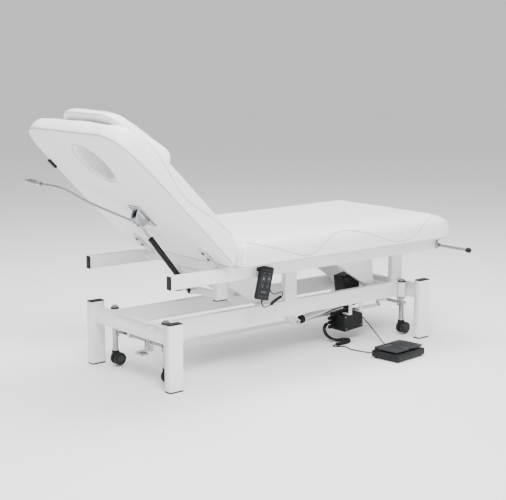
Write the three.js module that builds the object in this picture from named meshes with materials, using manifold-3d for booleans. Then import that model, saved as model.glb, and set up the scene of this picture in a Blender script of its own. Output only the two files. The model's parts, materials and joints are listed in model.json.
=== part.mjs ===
// Facial treatment bed: welded base, two parallel lift arms driven by one actuator,
// reclining backrest on a gas spring, retractable casters, handset and foot switch.
// Millimetres, +Z up. +X runs from the head end to the foot end, +Y to the far side.
import * as THREE from 'three';
import { mergeVertices } from 'three/addons/utils/BufferGeometryUtils.js';
import Module from 'manifold-3d';

const wasm = await Module();
wasm.setup();

// ---------------------------------------------------------------- driving dimensions
const GAP = 0.3;                 // clearance left between neighbouring solids
const ORIGIN = { x: 610.36, y: -31.92 };   // centre of the whole object's box, in the working frame

const LEG = { alongX: 60, alongY: 33, height: 252 };
const BASE = { length: 1367, width: 559, low: 170, high: 233, wall: 25, railOuter: 154 };
const CROSS_INSET = 17.5;        // cross rail face behind the leg face
const UPPER = { low: 383, high: 433, wall: 25, outer: 284, headX: 8, footX: 1399 };

const ARM = {
  lower: { x: 690, z: 200 },     // hinge on the base
  upper: { x: 350, z: 370 },     // hinge under the upper frame
  pitch: 604,                    // distance between the two arms
  inner: 90,
  outer: 115,
  boss: 20,
  shaft: 11,
};
const ROD_PIN = { x: 801, z: 110 };      // crank end, where the actuator rod pulls
const MOTOR_PIN = { x: 1225, z: 173 };   // rear hinge of the actuator
const ACTUATOR_Y = -50;

const BACK = { hingeX: 255, hingeZ: 412, drop: 21.5, angle: THREE.MathUtils.degToRad(45) };
const PAD = { half: 350, corner: 75, board: 15, back: 98, seat: 100, bevel: 10 };
const BACK_SPAN = { low: 20, lowTop: 98, high: 735 };   // hinge end: lower and upper edge, then head end
const FACE_HOLE = { at: 563, along: 90, across: 76 };
const SEAT_SPAN = { head: 285, foot: 1466 };
const PILLOW = { low: 470, high: 722, wide: 305, narrow: 165, thick: 52 };

const GAS = { lower: { x: 300, z: 296 }, upper: { x: 53, z: 603 }, tube: 11, rod: 5 };
const CASTER = { headX: 60, footX: 1308, y: 172, post: 11, guide: 16, wheel: 25, wheelZ: 31 };
const SHAFT = { headX: 98, footX: 1346, z: 130, radius: 7, crank: 32 };
const SWITCH = { x: 1027, y: -428, long: 180, wide: 134, turn: THREE.MathUtils.degToRad(7) };
const HANDSET = { x: 421, y: -302, z: 362, wide: 62, tall: 128, thick: 22, lean: -0.24 };

// ---------------------------------------------------------------- colours
const WHITE_PAINT = { color: 0xeeedea, roughness: 0.35, metalness: 0.1 };
const WHITE_VINYL = { color: 0xf1efec, roughness: 0.5, metalness: 0 };
const BLACK_PLASTIC = { color: 0x1d1e20, roughness: 0.5, metalness: 0 };
const GREY_PLASTIC = { color: 0x4b4e50, roughness: 0.6, metalness: 0 };
const CHROME = { color: 0xb9bdc1, roughness: 0.15, metalness: 1 };
const RUBBER = { color: 0x232323, roughness: 0.8, metalness: 0 };

// ---------------------------------------------------------------- solids
const { Manifold, Mesh: SolidMesh } = wasm;

function solidOf(geometry) {
  const bare = geometry.clone();
  bare.deleteAttribute('normal');
  bare.deleteAttribute('uv');
  const merged = mergeVertices(bare, 1e-4);
  return new Manifold(new SolidMesh({
    numProp: 3,
    vertProperties: Float32Array.from(merged.attributes.position.array),
    triVerts: Uint32Array.from(merged.index.array),
  }));
}

function geometryOf(solid) {
  const mesh = solid.getMesh();
  const geometry = new THREE.BufferGeometry();
  geometry.setAttribute('position', new THREE.BufferAttribute(Float32Array.from(mesh.vertProperties), 3));
  geometry.setIndex(new THREE.BufferAttribute(Uint32Array.from(mesh.triVerts), 1));
  geometry.computeVertexNormals();
  return geometry;
}

const join = (solids) => solids.reduce((sum, next) => sum.add(next));
const cut = (solid, tools) => tools.reduce((left, tool) => left.subtract(tool), solid);

function box(x, y, z) {
  const geometry = new THREE.BoxGeometry(x[1] - x[0], y[1] - y[0], z[1] - z[0]);
  geometry.translate((x[0] + x[1]) / 2, (y[0] + y[1]) / 2, (z[0] + z[1]) / 2);
  return solidOf(geometry);
}

// Both signs of a span in y.
const mirrored = (make) => [make(-1), make(1)];
const side = (sign, near, far) => (sign < 0 ? [-far, -near] : [near, far]);

// Round bar between two points.
function bar(from, to, radius, sides = 20) {
  const a = new THREE.Vector3(...from);
  const b = new THREE.Vector3(...to);
  const geometry = new THREE.CylinderGeometry(radius, radius, a.distanceTo(b), sides);
  const along = b.clone().sub(a).normalize();
  geometry.applyQuaternion(new THREE.Quaternion().setFromUnitVectors(new THREE.Vector3(0, 1, 0), along));
  geometry.translate((a.x + b.x) / 2, (a.y + b.y) / 2, (a.z + b.z) / 2);
  return solidOf(geometry);
}

const barY = (at, y, radius, sides) => bar([at.x, y[0], at.z], [at.x, y[1], at.z], radius, sides);

// Outline in the X-Z plane, extruded along Y.
function plate(points, y) {
  const shape = new THREE.Shape(points.map(([x, z]) => new THREE.Vector2(x, z)));
  const geometry = new THREE.ExtrudeGeometry(shape, { depth: y[1] - y[0], bevelEnabled: false });
  geometry.rotateX(Math.PI / 2);
  geometry.translate(0, y[1], 0);
  return solidOf(geometry);
}

// Ellipse as a polygon, so that it closes exactly on its first point.
function oval(x, y, halfX, halfY, sides = 28) {
  return new THREE.Shape(Array.from({ length: sides }, (_, i) => {
    const turn = 2 * Math.PI * i / sides;
    return new THREE.Vector2(x + halfX * Math.cos(turn), y + halfY * Math.sin(turn));
  }));
}

// Section swept along a curve through points.
function tube(points, radius, sides, steps) {
  const curve = new THREE.CatmullRomCurve3(points.map((p) => new THREE.Vector3(...p)));
  return new THREE.ExtrudeGeometry(oval(0, 0, radius, radius, sides), {
    steps,
    extrudePath: curve,
    bevelEnabled: false,
  });
}

// Outline with rounded corners in the X-Y plane, from a list of [x, y, corner radius].
function rounded(corners) {
  const shape = new THREE.Shape();
  const count = corners.length;
  corners.forEach(([x, y, radius], i) => {
    const here = new THREE.Vector2(x, y);
    const before = new THREE.Vector2(...corners[(i + count - 1) % count]);
    const after = new THREE.Vector2(...corners[(i + 1) % count]);
    const enter = before.sub(here).setLength(radius).add(here);
    const leave = after.sub(here).setLength(radius).add(here);
    if (i === 0) shape.moveTo(enter.x, enter.y);
    else shape.lineTo(enter.x, enter.y);
    shape.quadraticCurveTo(here.x, here.y, leave.x, leave.y);
  });
  shape.closePath();
  return shape;
}

// Flat pad with softened edges, lying from z[0] to z[1].
function pad(shape, z, bevel, turn = (geometry) => geometry) {
  const geometry = new THREE.ExtrudeGeometry(shape, {
    depth: z[1] - z[0] - 2 * bevel,
    bevelEnabled: bevel > 0,
    bevelSize: bevel,
    bevelOffset: -bevel,
    bevelThickness: bevel,
    bevelSegments: 2,
    curveSegments: 5,
  });
  geometry.translate(0, 0, z[0] + bevel);
  return solidOf(turn(geometry));
}

// ---------------------------------------------------------------- assembly
const bed = new THREE.Group();
bed.position.set(-ORIGIN.x, -ORIGIN.y, 0);

function add(name, shape, finish, parent = bed) {
  const geometry = shape.isBufferGeometry ? shape : geometryOf(shape);
  const mesh = new THREE.Mesh(geometry, new THREE.MeshStandardMaterial(finish));
  mesh.name = name;
  parent.add(mesh);
  return mesh;
}

// ---------------------------------------------------------------- base
const halfWidth = BASE.width / 2;
const railInner = BASE.railOuter - BASE.wall;
const crossHead = [CROSS_INSET, CROSS_INSET + BASE.wall];
const crossFoot = [BASE.length - CROSS_INSET - BASE.wall, BASE.length - CROSS_INSET];

// Bracket that carries a caster shaft under the base.
const CASTER_HANGER = { y: [118, 124], half: 14, reach: 2 };
function casterHanger(x, top, s) {
  const y = side(s, ...CASTER_HANGER.y);
  const at = { x, z: SHAFT.z };
  const tab = box([x - CASTER_HANGER.half, x + CASTER_HANGER.half], y, [SHAFT.z, top]);
  const bore = barY(at, [-halfWidth, halfWidth], SHAFT.radius + GAP);
  return cut(join([tab, barY(at, y, CASTER_HANGER.half)]), [bore]);
}

// Two legs with their caps and feet, and the rail between them.
function endFrame(legX, crossX) {
  const x = [legX, legX + LEG.alongX];
  const legs = mirrored((s) => box(x, side(s, halfWidth - LEG.alongY, halfWidth), [0, LEG.height]));
  const rail = box(crossX, [-halfWidth + LEG.alongY - 1, halfWidth - LEG.alongY + 1], [BASE.low, BASE.high]);
  return join([...legs, rail]);
}

const legStarts = [0, BASE.length - LEG.alongX];
const footHangers = mirrored((s) => casterHanger(SHAFT.footX, BASE.low + CASTER_HANGER.reach, s));
add('base_head_frame', endFrame(legStarts[0], crossHead), WHITE_PAINT);
add('base_foot_frame', join([endFrame(legStarts[1], crossFoot), ...footHangers]), WHITE_PAINT);

// Side rails, each with its posts, caster guides and brackets welded on.
const railX = [crossHead[1] + GAP, crossFoot[0] - GAP];
const railY = (s) => side(s, railInner, BASE.railOuter);
const REST = { headX: 659, footX: 1265, wide: 59, top: UPPER.low - 4 };
const restPost = (x, s) => box([x, x + REST.wide], railY(s), [BASE.high - 1, REST.top]);
const STOP = { x: [1168, 1226], capZ: 258 };
const stubY = side(1, railInner + 3, BASE.railOuter - 3);
const stopStub = box([1184, 1210], stubY, [BASE.high - 1, STOP.capZ - GAP]);

const GUIDE = { low: 166, high: 237 };
function casterGuide(x, s) {
  const centre = [x, s * CASTER.y];
  const outer = bar([...centre, GUIDE.low], [...centre, GUIDE.high], CASTER.guide, 24);
  const bore = bar([...centre, GUIDE.low - 1], [...centre, GUIDE.high + 1], CASTER.post + GAP, 24);
  const webY = side(s, BASE.railOuter - 1, CASTER.y - CASTER.post - 2);
  const web = box([x - 5, x + 5], webY, [GUIDE.low + 6, BASE.high - 3]);
  return cut(join([outer, web]), [bore]);
}
const headHanger = (s) => {
  const y = side(s, CASTER_HANGER.y[1] - 1, railInner + 2);
  const footX = [SHAFT.headX - CASTER_HANGER.half, SHAFT.headX + CASTER_HANGER.half];
  const foot = box(footX, y, [BASE.low, BASE.low + 12]);
  return join([casterHanger(SHAFT.headX, BASE.low + 12, s), foot]);
};
function baseRail(s, extras) {
  const guides = [CASTER.headX, CASTER.footX].map((x) => casterGuide(x, s));
  const rail = box(railX, railY(s), [BASE.low, BASE.high]);
  return join([rail, restPost(REST.headX, s), headHanger(s), ...guides, ...extras]);
}
// Straps that carry the control box under the near rail.
const STRAP = { wide: 16, thick: 3, spots: [[1036, 117.4], [1098, 122.8]] };
const boxStraps = STRAP.spots.map(([x, low]) => join([
  box([x, x + STRAP.wide], [-railInner - 1, -railInner + STRAP.thick], [low, BASE.low + 20]),
  box([x, x + STRAP.wide], [-railInner, -railInner + 40], [low, low + STRAP.thick]),
]));
add('base_rail_near', baseRail(-1, [restPost(REST.footX, -1), ...boxStraps]), WHITE_PAINT);
add('base_rail_far', baseRail(1, [stopStub]), WHITE_PAINT);

['head_arm_shaft', 'foot_arm_shaft'].forEach((name, i) => add(name, barY(
  { x: ARM.lower.x + i * ARM.pitch, z: ARM.lower.z },
  [-railInner + GAP, railInner - GAP],
  ARM.shaft - GAP,
), CHROME));

// Cross tube with two ears that hold the rear of the actuator.
const EAR = { half: 18, thick: 5 };
const mountX = [1238, 1260];
const mountEars = mirrored((s) => {
  const y = side(s, EAR.half - EAR.thick, EAR.half).map((v) => v + ACTUATOR_Y);
  return join([
    box([MOTOR_PIN.x, mountX[0] + 1], y, [MOTOR_PIN.z - 14, MOTOR_PIN.z + 14]),
    barY(MOTOR_PIN, y, 14),
  ]);
});
const mountTube = box(mountX, [-railInner + GAP, railInner - GAP], [BASE.low - 20, BASE.low + 7]);
const mountPin = barY(MOTOR_PIN, [ACTUATOR_Y - EAR.half - 3, ACTUATOR_Y + EAR.half + 3], 5);
add('actuator_mount', join([mountTube, ...mountEars, mountPin]), WHITE_PAINT);

// ---------------------------------------------------------------- control box
const BOX = { x: [1022, 1134], y: [-112, -22], z: [40, 114], tilt: THREE.MathUtils.degToRad(-5) };
const boxSpot = new THREE.Group();
boxSpot.position.set(BOX.x[0], 0, BOX.z[1]);
boxSpot.rotation.y = BOX.tilt;
bed.add(boxSpot);
const boxLong = BOX.x[1] - BOX.x[0];
const boxTall = BOX.z[1] - BOX.z[0];
const boxCase = pad(rounded([
  [0, BOX.y[0], 8], [boxLong, BOX.y[0], 8], [boxLong, BOX.y[1], 8], [0, BOX.y[1], 8],
]), [-boxTall, 0], 4);
const PLUG = { radius: 8, long: 28, y: -45, rows: [-18, -37, -56] };
const boxPlugs = PLUG.rows.map((z) => bar([1, PLUG.y, z], [-PLUG.long, PLUG.y, z], PLUG.radius, 16));
add('control_box', join([boxCase, ...boxPlugs]), BLACK_PLASTIC, boxSpot);

// ---------------------------------------------------------------- lift arms
// Side plate of an arm, drawn relative to its lower hinge.
function armPlate(y) {
  const up = { x: ARM.upper.x - ARM.lower.x, z: ARM.upper.z - ARM.lower.z };
  const outline = [
    [up.x - 14, up.z - 14], [up.x + 40, up.z - 40], [up.x + 191, up.z - 137], [up.x + 226, up.z - 176],
    [-70, -19], [0, -ARM.boss], [0, ARM.boss], [-88, 20],
    [-103, 28], [up.x + 223, up.z + 8], [up.x, up.z + 14],
  ];
  return join([
    plate(outline, y),
    barY({ x: 0, z: 0 }, y, ARM.boss),
    barY(up, y, ARM.boss),
  ]);
}

function liftArm() {
  const plates = mirrored((s) => armPlate(side(s, ARM.inner, ARM.outer)));
  const up = { x: ARM.upper.x - ARM.lower.x, z: ARM.upper.z - ARM.lower.z };
  const upperTube = barY(up, [-ARM.inner - 1, ARM.inner + 1], ARM.boss - 4);
  const lowerTube = barY({ x: 0, z: 0 }, [-ARM.inner - 1, ARM.inner + 1], ARM.boss);
  const lowerHole = barY({ x: 0, z: 0 }, [-ARM.outer - 1, ARM.outer + 1], ARM.shaft);
  const stubs = barY(up, [-ARM.outer - 9, ARM.outer + 9], ARM.shaft - 3);
  return cut(join([...plates, upperTube, lowerTube, stubs]), [lowerHole]);
}

function placedArm(name, dx, shape) {
  const spot = new THREE.Group();
  spot.position.set(ARM.lower.x + dx, 0, ARM.lower.z);
  bed.add(spot);
  return add(name, shape, WHITE_PAINT, spot);
}

// The head arm also carries the crank that the actuator pushes.
const crankEnd = { x: ROD_PIN.x - ARM.lower.x, z: ROD_PIN.z - ARM.lower.z };
const crankSide = Math.hypot(crankEnd.x, crankEnd.z);
const crankNormal = { x: -crankEnd.z / crankSide, z: crankEnd.x / crankSide };
function crankPlate(y) {
  const half = 15;
  const edge = (at, s) => [at.x + s * half * crankNormal.x, at.z + s * half * crankNormal.z];
  const hub = { x: 0, z: 0 };
  return join([
    plate([edge(hub, -1), edge(crankEnd, -1), edge(crankEnd, 1), edge(hub, 1)], y),
    barY(crankEnd, y, half),
  ]);
}
const CRANK = { near: 9, far: 15 };
const cranks = mirrored((s) => crankPlate(side(s, CRANK.near, CRANK.far).map((v) => v + ACTUATOR_Y)));
const crankHole = barY({ x: 0, z: 0 }, [-ARM.outer, ARM.outer], ARM.shaft);
const stubSpan = (s) => side(s, CRANK.near - 0.4, CRANK.far + 3).map((v) => v + ACTUATOR_Y);
const crankStubs = mirrored((s) => barY(crankEnd, stubSpan(s), 5));
const bridgeY = [ACTUATOR_Y - CRANK.near - 1, ACTUATOR_Y + CRANK.near + 1];
const crankBridge = cut(box([-8, 30], bridgeY, [-28, -14]), [crankHole]);
placedArm('head_lift_arm', 0, join([liftArm(), cut(join(cranks), [crankHole]), crankBridge, ...crankStubs]));
placedArm('foot_lift_arm', ARM.pitch, liftArm());

// ---------------------------------------------------------------- actuator
// Drawn along +X from the rod pin, then tilted onto the line of its two pins.
const stretch = { x: MOTOR_PIN.x - ROD_PIN.x, z: MOTOR_PIN.z - ROD_PIN.z };
const actuatorLong = Math.hypot(stretch.x, stretch.z);
const actuatorSpot = new THREE.Group();
actuatorSpot.position.set(ROD_PIN.x, ACTUATOR_Y, ROD_PIN.z);
actuatorSpot.rotation.y = -Math.atan2(stretch.z, stretch.x);
bed.add(actuatorSpot);
const SLEEVE = { start: 30, radius: 15, bore: 9 };
const MOTOR = { x: [266, 352], y: [-36, 36], z: [13, 124] };
const sleeve = bar([SLEEVE.start, 0, 0], [MOTOR.x[0] + 1, 0, 0], SLEEVE.radius);
const gearCase = box([MOTOR.x[0], actuatorLong - 40], [-30, 30], [-14, 22]);
const motorCan = pad(rounded([
  [MOTOR.x[0], MOTOR.y[0], 10], [MOTOR.x[1], MOTOR.y[0], 10],
  [MOTOR.x[1], MOTOR.y[1], 10], [MOTOR.x[0], MOTOR.y[1], 10],
]), MOTOR.z, 4);
const tail = join([
  box([actuatorLong - 41, actuatorLong], [-9, 9], [-10, 10]),
  barY({ x: actuatorLong, z: 0 }, [-9, 9], 11),
]);
const bore = bar([SLEEVE.start - 1, 0, 0], [MOTOR.x[0] - 6, 0, 0], SLEEVE.bore);
const tailHole = barY({ x: actuatorLong, z: 0 }, [-12, 12], 5 + GAP);
const actuatorShape = cut(join([sleeve, gearCase, motorCan, tail]), [bore, tailHole]);
add('actuator_body', actuatorShape, BLACK_PLASTIC, actuatorSpot);
const rodEye = barY({ x: 0, z: 0 }, [-7, 7], 12);
const rodBar = bar([8, 0, 0], [MOTOR.x[0] - 12, 0, 0], SLEEVE.bore - 0.8);
add('actuator_rod', join([rodEye, rodBar]), CHROME, actuatorSpot);

// ---------------------------------------------------------------- upper frame
const upperInner = UPPER.outer - UPPER.wall;
const upperRailY = (s) => side(s, upperInner, UPPER.outer);
const upperRail = (s) => box([UPPER.headX, UPPER.footX], upperRailY(s), [UPPER.low, UPPER.high]);
// The handset lead is held by a clip on the near rail's inner side.
const CLIP = { x: 486, y: -254, half: 6 };
const clipX = [CLIP.x - CLIP.half, CLIP.x + CLIP.half];
const leadClip = box(clipX, [-upperInner - 3, CLIP.y + 8], [UPPER.low - 12, UPPER.low + 12]);
add('upper_rail_near', join([upperRail(-1), leadClip]), WHITE_PAINT);
add('upper_rail_far', upperRail(1), WHITE_PAINT);

const tubeY = [-upperInner + GAP, upperInner - GAP];
const crossTube = (x, low) => box(x, tubeY, [low, UPPER.high]);
const RAISED = UPPER.low + 10;       // underside of the shallower tubes
const HEAD_TUBE = [292, 342];
const HANG = { inner: 116.5, outer: 127.5 };
const stubHole = (dx) => barY({ x: ARM.upper.x + dx, z: ARM.upper.z }, [-140, 140], ARM.shaft - 3 + GAP);

// Lugs on the head tube hold the backrest's hinge pins.
const HINGE = { y: 217, half: 13, lug: 5, pin: 5 };
const hingeLugs = (s) => {
  const at = { x: BACK.hingeX, z: BACK.hingeZ };
  const ears = [-1, 1].map((e) => {
    const middle = HINGE.y + e * (HINGE.half + GAP + HINGE.lug / 2);
    const y = side(s, middle - HINGE.lug / 2, middle + HINGE.lug / 2);
    return join([barY(at, y, 10), box([at.x, HEAD_TUBE[0] + 1], y, [at.z - 10, at.z + 10])]);
  });
  return join([...ears, barY(at, side(s, HINGE.y - 22, HINGE.y + 22), HINGE.pin)]);
};
add('head_cross_tube', join([crossTube(HEAD_TUBE, RAISED), ...mirrored(hingeLugs)]), WHITE_PAINT);
const restTube = (x) => crossTube([x, x + REST.wide], UPPER.low);
add('rest_cross_tube', restTube(REST.headX), WHITE_PAINT);
const footEar = (s) => box([930, 978], side(s, HANG.inner, HANG.outer), [352, RAISED + 1]);
add('middle_cross_tube', cut(join([
  crossTube([930, 980], RAISED), ...mirrored(footEar),
]), [stubHole(ARM.pitch)]), WHITE_PAINT);
const stopPost = box(STOP.x, railY(1), [STOP.capZ, UPPER.low + 1]);
add('stop_cross_tube', join([restTube(STOP.x[0]), stopPost]), WHITE_PAINT);
add('foot_rest_cross_tube', restTube(REST.footX), WHITE_PAINT);

// Two hanging posts carry the head arm's upper hinge and the gas spring's lower hinge.
const HANGER = { x: [321, 371], y: [HANG.inner, HANG.inner + 25], low: 280, tube: [287, 312] };
const hangers = mirrored((s) => box(HANGER.x, side(s, ...HANGER.y), [HANGER.low, RAISED - GAP]));
const hangerTube = box([321, 341], [-HANGER.y[0] - 1, HANGER.y[0] + 1], HANGER.tube);
const clevisPlates = mirrored((s) => join([
  box([GAS.lower.x, 322], side(s, 10, 15), [GAS.lower.z - 9, GAS.lower.z + 9]),
  barY(GAS.lower, side(s, 10, 15), 9),
]));
const gasPin = barY(GAS.lower, [-18, 18], 4);
const hangerShape = cut(join([...hangers, hangerTube, ...clevisPlates, gasPin]), [stubHole(0)]);
add('gas_spring_hanger', hangerShape, WHITE_PAINT);

// ---------------------------------------------------------------- seat
const seatOutline = (inset) => rounded([
  [SEAT_SPAN.head + inset, -PAD.half + inset, 28],
  [SEAT_SPAN.foot - inset, -PAD.half + inset, PAD.corner * 1.3],
  [SEAT_SPAN.foot - inset, PAD.half - inset, PAD.corner * 1.3],
  [SEAT_SPAN.head + inset, PAD.half - inset, 28],
]);
add('seat_board', pad(seatOutline(6), [UPPER.high + GAP, UPPER.high + PAD.board], 0), WHITE_VINYL);
const seatPadZ = [UPPER.high + PAD.board + GAP, UPPER.high + PAD.seat];
add('seat_cushion', pad(seatOutline(0), seatPadZ, PAD.bevel), WHITE_VINYL);

// ---------------------------------------------------------------- roll holder
const ROLL = { x: 1398, z: 401, radius: 6 };
const rollPlate = box([1392, 1404], [-UPPER.outer - 3, -UPPER.outer - GAP], [386, 431]);
const rollSocket = barY(ROLL, [-UPPER.outer - 16, -UPPER.outer - 2], 10);
const rollBore = barY(ROLL, [-UPPER.outer - 17, -UPPER.outer - 5], ROLL.radius + GAP);
add('roll_holder_plate', cut(join([rollPlate, rollSocket]), [rollBore]), CHROME);
const rollRod = barY(ROLL, [-UPPER.outer - 172, -UPPER.outer - 6], ROLL.radius);
const rollTip = barY(ROLL, [-UPPER.outer - 186, -UPPER.outer - 170], ROLL.radius + 3);
add('roll_holder_rod', join([rollRod, rollTip]), CHROME);

// ---------------------------------------------------------------- backrest
// Drawn lying flat with +X towards the head end from the hinge, then raised about the hinge.
const backSpot = new THREE.Group();
backSpot.position.set(BACK.hingeX, 0, BACK.hingeZ);
backSpot.rotation.set(0, BACK.angle - Math.PI, 0);
bed.add(backSpot);
// In this group +X points up the back and +Z points from the top face down to the underside.
const under = -BACK.drop;
const facing = (depth) => under - depth;

function backOutline(inset) {
  const head = BACK_SPAN.high - inset;
  const half = PAD.half - inset;
  return rounded([
    [BACK_SPAN.low + inset, -half, 28],
    [head - 190, -half, 80],
    [head, -half + 34, PAD.corner * 1.4],
    [head, half - 34, PAD.corner * 1.4],
    [head - 190, half, 80],
    [BACK_SPAN.low + inset, half, 28],
  ]);
}
const holeTool = pad(oval(FACE_HOLE.at, 0, FACE_HOLE.along, FACE_HOLE.across), [-400, 100], 0);
// The hinge end leans back so that it clears the seat when the backrest is raised.
const slope = (BACK_SPAN.lowTop - BACK_SPAN.low) / PAD.back;
const leanAt = (z) => [BACK_SPAN.low - (z - under) * slope, z];
const hingeEndTool = plate([[-100, 0], leanAt(0), leanAt(-200), [-100, -200]], [-400, 400]);
const backBoard = pad(backOutline(6), [facing(PAD.board), facing(0)], 0);
const backPad = pad(backOutline(0), [facing(PAD.back), facing(PAD.board + GAP)], PAD.bevel);
const BUMPER = { along: [505, 550], across: [326, 343], deep: 9 };
const bumper = box(BUMPER.along, BUMPER.across, [under - 1, under + BUMPER.deep]);
add('back_board', join([cut(backBoard, [holeTool, hingeEndTool]), bumper]), WHITE_VINYL, backSpot);
add('back_cushion', cut(backPad, [holeTool, hingeEndTool]), WHITE_VINYL, backSpot);

add('pillow', pad(rounded([
  [PILLOW.low, -PILLOW.wide, 60],
  [PILLOW.high, -PILLOW.narrow, 60],
  [PILLOW.high, PILLOW.narrow, 60],
  [PILLOW.low, PILLOW.wide, 60],
]), [facing(PAD.back + GAP + PILLOW.thick), facing(PAD.back + GAP)], 14), WHITE_VINYL, backSpot);

// Hinge straps under the board turn on the lugs' pins.
const hingeStrap = (s) => {
  const y = side(s, HINGE.y - HINGE.half, HINGE.y + HINGE.half);
  const at = { x: 0, z: 0 };
  return cut(join([
    box([-8, 116], y, [under + GAP, under + 5]),
    box([-8, 8], y, [under + 1, 0]),
    barY(at, y, 9),
  ]), [barY(at, [-PAD.half, PAD.half], HINGE.pin + GAP)]);
};
add('back_hinge_strap_near', hingeStrap(-1), WHITE_PAINT, backSpot);
add('back_hinge_strap_far', hingeStrap(1), WHITE_PAINT, backSpot);

// ---------------------------------------------------------------- gas spring
const gasSpan = { x: GAS.upper.x - GAS.lower.x, z: GAS.upper.z - GAS.lower.z };
const gasLong = Math.hypot(gasSpan.x, gasSpan.z);
const onGas = (d) => [GAS.lower.x + gasSpan.x * d / gasLong, 0, GAS.lower.z + gasSpan.z * d / gasLong];
const GAS_TUBE = { start: 24, end: 290 };
const gasEye = barY(GAS.lower, [-8, 8], 9);
const gasNeck = bar(onGas(5), onGas(GAS_TUBE.start + 2), 7);
const gasTube = bar(onGas(GAS_TUBE.start), onGas(GAS_TUBE.end), GAS.tube);
const gasBore = bar(onGas(40), onGas(GAS_TUBE.end + 1), GAS.rod + GAP);
const gasEyeHole = barY(GAS.lower, [-9, 9], 4 + GAP);
add('gas_spring_cylinder', cut(join([gasEye, gasNeck, gasTube]), [gasBore, gasEyeHole]), BLACK_PLASTIC);
const gasRod = bar(onGas(110), onGas(gasLong - 14), GAS.rod);
const gasHead = bar(onGas(gasLong - 18), onGas(gasLong + 12), 9);
add('gas_spring_rod', join([gasRod, gasHead]), CHROME);

// Bracket under the backrest, in the raised working frame.
const up = new THREE.Vector2(-Math.cos(BACK.angle), Math.sin(BACK.angle));
const inward = new THREE.Vector2(Math.sin(BACK.angle), Math.cos(BACK.angle));
const onBack = (along, height) => [
  BACK.hingeX + up.x * along + inward.x * (BACK.drop + height),
  BACK.hingeZ + up.y * along + inward.y * (BACK.drop + height),
];
const BRACKET = { from: 215, to: 324, pin: 278, deep: 39, thick: 3 };
const LEVER_PIN = { x: 66, z: 590 };
const bracketSide = (s) => {
  const y = side(s, 15, 15 + BRACKET.thick);
  const outline = [
    onBack(BRACKET.pin - 40, -GAP - 1), onBack(BRACKET.pin - 36, -BRACKET.deep),
    onBack(BRACKET.pin + 14, -BRACKET.deep), onBack(BRACKET.pin + 34, -GAP - 1),
  ];
  return plate(outline, y);
};
const flange = plate([
  onBack(BRACKET.from, -GAP), onBack(BRACKET.to, -GAP), onBack(BRACKET.to, -4), onBack(BRACKET.from, -4),
], [-40, 40]);
const bracketStubs = mirrored((s) => barY(GAS.upper, side(s, 9.5, 20), 4));
const leverStub = barY(LEVER_PIN, [16, 31], 4);
add('release_bracket', join([flange, ...mirrored(bracketSide), ...bracketStubs, leverStub]), CHROME);

// Release lever: a long bent rod reaching past the far edge, with a knob.
const LEVER_ROUTE = [
  [61, 30, 592], [38, 62, 606], [-29, 200, 655], [-68, 235, 683],
  [-102, 265, 707], [-134, 355, 717], [-142, 377, 719],
];
const KNOB = { from: [-138, 366, 718], to: [-163, 437, 729], radius: 11 };
const leverRod = solidOf(tube(LEVER_ROUTE, 5, 12, 40));
const knob = bar(KNOB.from, KNOB.to, KNOB.radius);
const leverHub = barY(LEVER_PIN, [18.5, 34], 9);
const leverHole = barY(LEVER_PIN, [17, 31.5], 4 + GAP);
add('release_lever', cut(join([leverRod, knob, leverHub]), [leverHole]), CHROME);

// ---------------------------------------------------------------- casters and their lift
const casterSpots = [
  ['head_near', CASTER.headX, -1], ['head_far', CASTER.headX, 1],
  ['foot_near', CASTER.footX, -1], ['foot_far', CASTER.footX, 1],
];

// Posts slide in the guides. A side pin under the lifting arm takes the push.
const POST = { low: 66, high: 246, pinZ: 129 };
for (const [name, x, s] of casterSpots) {
  const centre = [x, s * CASTER.y];
  const post = bar([...centre, POST.low], [...centre, POST.high], CASTER.post, 24);
  const pin = bar([x, s * 147, POST.pinZ], [x, s * (CASTER.y - 2), POST.pinZ], 4, 12);
  add(`caster_post_${name}`, join([post, pin]), CHROME);
  const fork = join([
    bar([...centre, POST.low - 10], [...centre, POST.low - GAP], 15, 24),
    box([x - 6, x + 14], [s * CASTER.y - 5, s * CASTER.y + 5], [CASTER.wheelZ - 4, POST.low - 8]),
    barY({ x: x + 12, z: CASTER.wheelZ }, [s * CASTER.y - 5, s * CASTER.y + 5], 20),
  ]);
  const axleHole = barY({ x: x + 12, z: CASTER.wheelZ }, [s * CASTER.y - 6, s * CASTER.y + 6], 4 + GAP);
  add(`caster_fork_${name}`, cut(fork, [axleHole]), BLACK_PLASTIC);
  const axle = { x: x + 12, z: CASTER.wheelZ };
  const middle = s * CASTER.y;
  add(`caster_wheels_${name}`, join([
    barY(axle, [middle - 19, middle - 5.5], CASTER.wheel, 28),
    barY(axle, [middle + 5.5, middle + 19], CASTER.wheel, 28),
    barY(axle, [middle - 7, middle + 7], 4, 16),
  ]), RUBBER);
}

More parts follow.
